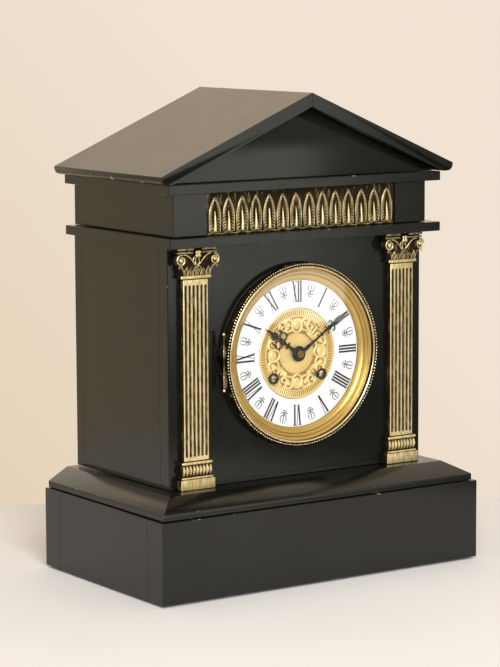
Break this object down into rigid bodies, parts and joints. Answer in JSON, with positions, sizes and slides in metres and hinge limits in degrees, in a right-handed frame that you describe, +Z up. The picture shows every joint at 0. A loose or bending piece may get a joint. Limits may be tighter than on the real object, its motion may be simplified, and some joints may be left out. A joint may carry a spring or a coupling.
{
  "type": "marble mantel clock",
  "caption": "Temple-shaped polished black stone mantel clock with brass pilasters and leaf strip, hinged glazed bezel, enamel dial, round striking movement, pendulum and rear door.",
  "frame": {"origin": "on the ground, under the middle of the clock's length and depth", "axes": "+Z up, -Y out of the dial towards the reader, +X to the right as the dial is read"},
  "size_m": [0.3, 0.1812, 0.3794],
  "materials": {
    "slate": "polished black stone",
    "felt": "felt",
    "patinated_brass": "worn, dark in the hollows",
    "gilt_brass": "gilt, polished",
    "brass": "satin",
    "bell_metal": "polished",
    "steel": "satin",
    "blued_steel": "dark blued",
    "enamel": "glossy white enamel",
    "bezel_glass": "clear"
  },
  "bodies": {
    "case": {"plinth_front": "slate", "plinth_back": "slate", "plinth_left": "slate", "plinth_right": "slate", "bevel_slab": "slate", "body_front": "slate", "body_back": "slate", "body_left": "slate", "body_right": "slate", "string_course": "slate", "frieze_block": "slate", "cornice_slab": "slate", "roof_left": "slate", "roof_right": "slate", "pediment_block": "slate", "foot_front_left": "felt", "foot_back_left": "felt", "foot_front_right": "felt", "foot_back_right": "felt", "leaf_strip": "patinated_brass", "pilaster_base_left": "patinated_brass", "pilaster_base_right": "patinated_brass", "pilaster_shaft_left": "patinated_brass", "pilaster_shaft_right": "patinated_brass", "pilaster_capital_left": "patinated_brass", "pilaster_capital_right": "patinated_brass", "dial_casing": "gilt_brass", "bezel_hinge_pin": "gilt_brass", "chapter_ring": "enamel", "dial_plate": "gilt_brass", "front_plate": "brass", "back_plate": "brass", "suspension_cock": "brass", "bell": "bell_metal", "bell_stand": "steel", "rear_ring": "brass"},
    "bezel": {"bezel_door": "gilt_brass", "bezel_glass": "bezel_glass"},
    "rear_door": {"rear_door": "brass"},
    "going_barrel": {"going_barrel": "brass"},
    "strike_barrel": {"strike_barrel": "brass"},
    "going_winding": {"going_winding_arbor": "steel"},
    "strike_winding": {"strike_winding_arbor": "steel"},
    "going_click": {"going_click": "steel"},
    "strike_click": {"strike_click": "steel"},
    "intermediate": {"intermediate_wheel": "brass"},
    "centre": {"centre_arbor": "brass", "minute_hand": "blued_steel", "hand_collet": "brass"},
    "hour": {"hour_wheel": "brass", "hour_hand": "blued_steel"},
    "minute_wheel": {"minute_wheel": "brass"},
    "third": {"third_wheel": "brass"},
    "escape": {"escape_wheel": "brass"},
    "pin_wheel": {"pin_wheel": "brass"},
    "fly": {"fly": "brass"},
    "pendulum": {"pendulum": "brass"},
    "anchor": {"anchor": "steel"},
    "hammer": {"hammer": "steel"}
  },
  "joints": [
    {"name": "bezel_hinge", "type": "hinge", "parent": "case", "child": "bezel", "pos_m": [-0.0743, -0.0601, 0.1759], "axis": [0, 0, -1], "range_deg": [0, 110]},
    {"name": "rear_door_hinge", "type": "hinge", "parent": "case", "child": "rear_door", "pos_m": [0.07, 0.0873, 0.1759], "axis": [0, 0, -1], "range_deg": [0, 120]},
    {"name": "centre_turn", "type": "hinge", "parent": "case", "child": "centre", "pos_m": [0, -0.0527, 0.1759], "axis": [0, 1, 0], "continuous": true},
    {"name": "hour_turn", "type": "hinge", "parent": "case", "child": "hour", "pos_m": [0, -0.0527, 0.1759], "axis": [0, 1, 0], "continuous": true},
    {"name": "minute_wheel_turn", "type": "hinge", "parent": "case", "child": "minute_wheel", "pos_m": [-0.0041, -0.0527, 0.16462], "axis": [0, 1, 0], "continuous": true},
    {"name": "intermediate_turn", "type": "hinge", "parent": "case", "child": "intermediate", "pos_m": [0.01976, -0.0527, 0.183], "axis": [0, 1, 0], "continuous": true},
    {"name": "going_barrel_turn", "type": "hinge", "parent": "case", "child": "going_barrel", "pos_m": [0.0229, -0.0527, 0.158], "axis": [0, 1, 0], "continuous": true},
    {"name": "third_turn", "type": "hinge", "parent": "case", "child": "third", "pos_m": [-0.00724, -0.0527, 0.19336], "axis": [0, 1, 0], "continuous": true},
    {"name": "escape_turn", "type": "hinge", "parent": "case", "child": "escape", "pos_m": [0, -0.0527, 0.2044], "axis": [0, 1, 0], "continuous": true},
    {"name": "strike_barrel_turn", "type": "hinge", "parent": "case", "child": "strike_barrel", "pos_m": [-0.0229, -0.0527, 0.158], "axis": [0, 1, 0], "continuous": true},
    {"name": "pin_wheel_turn", "type": "hinge", "parent": "case", "child": "pin_wheel", "pos_m": [-0.02728, -0.0527, 0.18282], "axis": [0, 1, 0], "continuous": true},
    {"name": "fly_turn", "type": "hinge", "parent": "case", "child": "fly", "pos_m": [-0.02369, -0.0527, 0.1962], "axis": [0, 1, 0], "continuous": true},
    {"name": "going_winding_turn", "type": "hinge", "parent": "case", "child": "going_winding", "pos_m": [0.0229, -0.0527, 0.158], "axis": [0, 1, 0], "continuous": true},
    {"name": "strike_winding_turn", "type": "hinge", "parent": "case", "child": "strike_winding", "pos_m": [-0.0229, -0.0527, 0.158], "axis": [0, 1, 0], "continuous": true},
    {"name": "going_click_pivot", "type": "hinge", "parent": "case", "child": "going_click", "pos_m": [0.02583, 0.0031, 0.17371], "axis": [0, -1, 0], "range_deg": [0, 8]},
    {"name": "strike_click_pivot", "type": "hinge", "parent": "case", "child": "strike_click", "pos_m": [-0.02583, 0.0031, 0.17371], "axis": [0, 1, 0], "range_deg": [0, 8]},
    {"name": "pendulum_swing", "type": "hinge", "parent": "case", "child": "pendulum", "pos_m": [0, 0.0143, 0.2184], "axis": [0, 1, 0], "range_deg": [-4, 4]},
    {"name": "anchor_swing", "type": "hinge", "parent": "case", "child": "anchor", "pos_m": [0, -0.0527, 0.2184], "axis": [0, 1, 0], "range_deg": [-4, 4]},
    {"name": "hammer_lift", "type": "hinge", "parent": "case", "child": "hammer", "pos_m": [-0.043, 0.0353, 0.1819], "axis": [0, -1, 0], "range_deg": [0, 18]}
  ],
  "couplings": [
    {"joint": "hour_turn", "follows": "centre_turn", "ratio": 0.083333},
    {"joint": "minute_wheel_turn", "follows": "centre_turn", "ratio": -0.33333},
    {"joint": "intermediate_turn", "follows": "centre_turn", "ratio": -0.16667},
    {"joint": "going_barrel_turn", "follows": "centre_turn", "ratio": 0.027778},
    {"joint": "third_turn", "follows": "centre_turn", "ratio": -13},
    {"joint": "escape_turn", "follows": "centre_turn", "ratio": 130},
    {"joint": "pin_wheel_turn", "follows": "strike_barrel_turn", "ratio": -6},
    {"joint": "fly_turn", "follows": "strike_barrel_turn", "ratio": 36},
    {"joint": "anchor_swing", "follows": "pendulum_swing", "ratio": 1}
  ]
}
